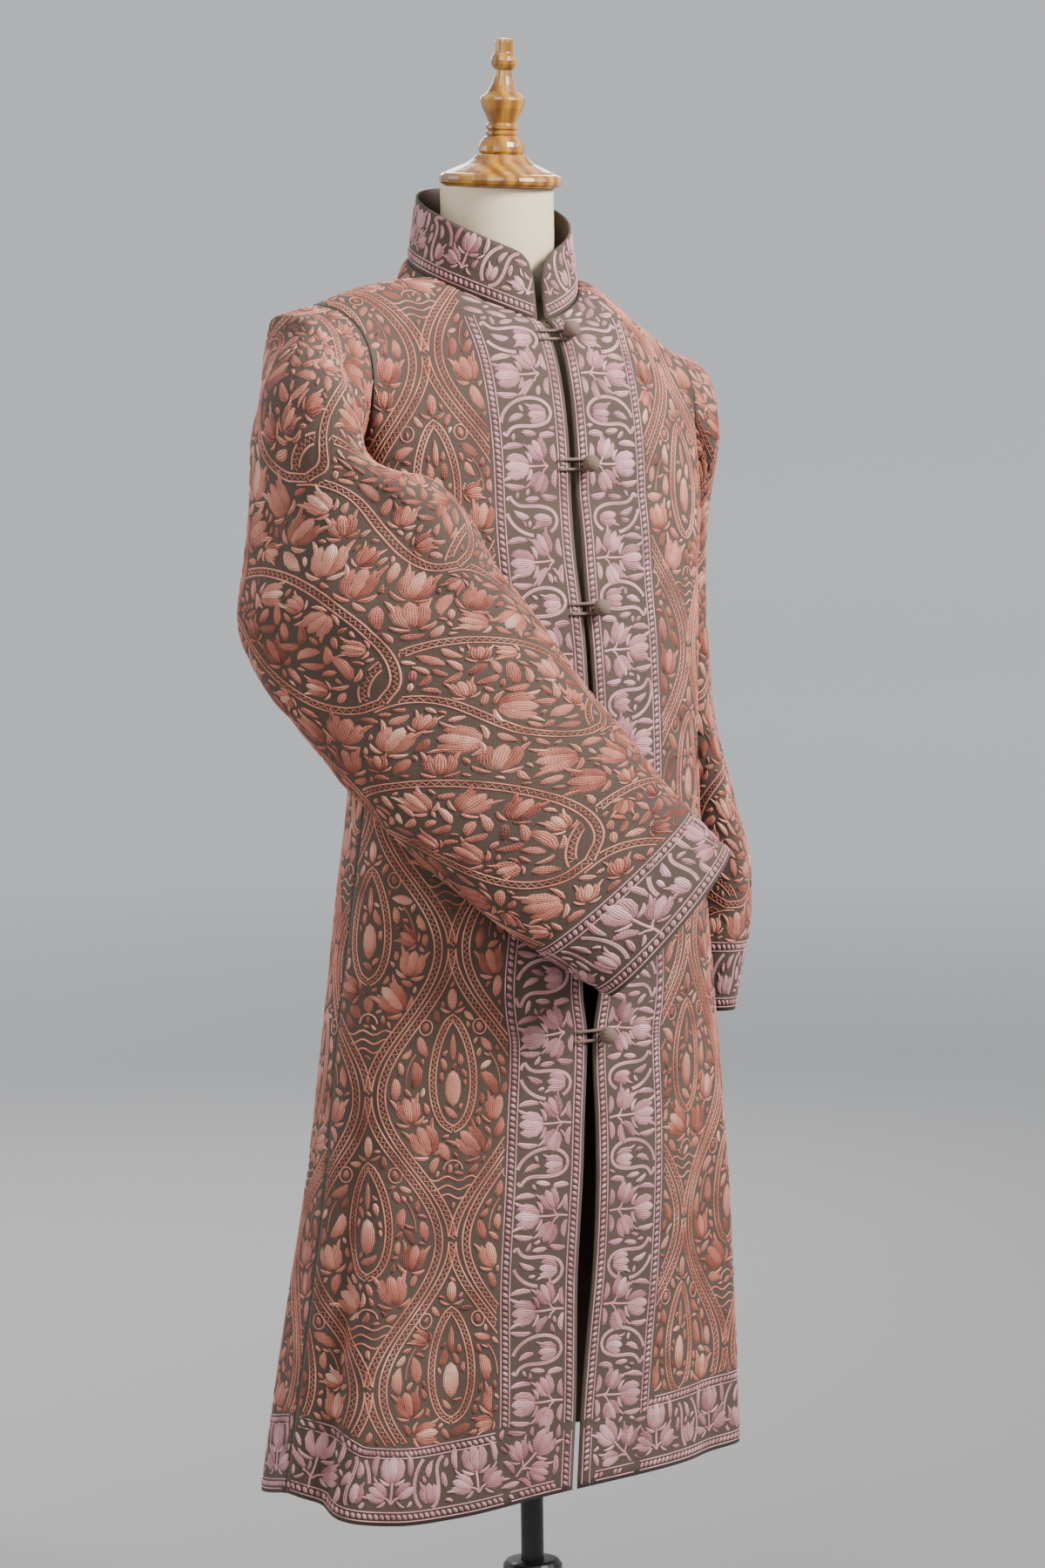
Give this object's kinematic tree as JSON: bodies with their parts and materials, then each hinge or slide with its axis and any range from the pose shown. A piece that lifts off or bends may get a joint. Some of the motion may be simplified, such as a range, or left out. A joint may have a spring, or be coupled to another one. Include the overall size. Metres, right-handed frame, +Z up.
{
  "type": "embroidered jacket on a dress form",
  "caption": "Knee-length embroidered jacket with a stand collar and ball buttons, worn by a limbless dress form on a round-based pole stand, one sleeve bent across the front.",
  "frame": {"origin": "middle of the round base's underside, on the floor", "axes": "+Z up along the pole; the jacket's front faces -Y; the wearer's right sleeve is at -X"},
  "size_m": [0.5938, 0.4013, 1.6188],
  "materials": {
    "embroidered_cloth": "taupe wool covered with terracotta chain-stitch embroidery",
    "border_cloth": "taupe wool with mauve chain-stitch embroidery",
    "taupe_cloth": "plain woven taupe cloth",
    "linen": "plain cream linen",
    "turned_wood": "varnished turned wood",
    "black_metal": "black painted steel"
  },
  "bodies": {
    "stand": {"base_plate": "black_metal", "lower_tube": "black_metal", "hub": "black_metal"},
    "knob": {"clamp_knob": "black_metal"},
    "mast": {"pole": "black_metal"},
    "form": {"form_torso": "linen", "form_board": "turned_wood", "form_socket": "black_metal", "neck_cap": "turned_wood", "finial": "turned_wood", "front_right": "embroidered_cloth", "front_left": "embroidered_cloth", "back": "embroidered_cloth", "sleeve_right": "embroidered_cloth", "sleeve_left": "embroidered_cloth", "collar": "border_cloth", "button_1": "taupe_cloth", "button_2": "taupe_cloth", "button_3": "taupe_cloth", "button_4": "taupe_cloth", "button_5": "taupe_cloth", "button_6": "taupe_cloth", "loop_1": "taupe_cloth", "loop_2": "taupe_cloth", "loop_3": "taupe_cloth", "loop_4": "taupe_cloth", "loop_5": "taupe_cloth", "loop_6": "taupe_cloth"}
  },
  "joints": [
    {"name": "height_slide", "type": "slide", "parent": "stand", "child": "mast", "axis": [0, 0, 1], "range_m": [-0.04, 0.1]},
    {"name": "form_swivel", "type": "hinge", "parent": "mast", "child": "form", "pos_m": [0, 0, 0.79], "axis": [0, 0, 1], "continuous": true},
    {"name": "knob_turn", "type": "hinge", "parent": "stand", "child": "knob", "pos_m": [0, 0, 0.211], "axis": [0, -1, 0], "range_deg": [0, 360]}
  ]
}
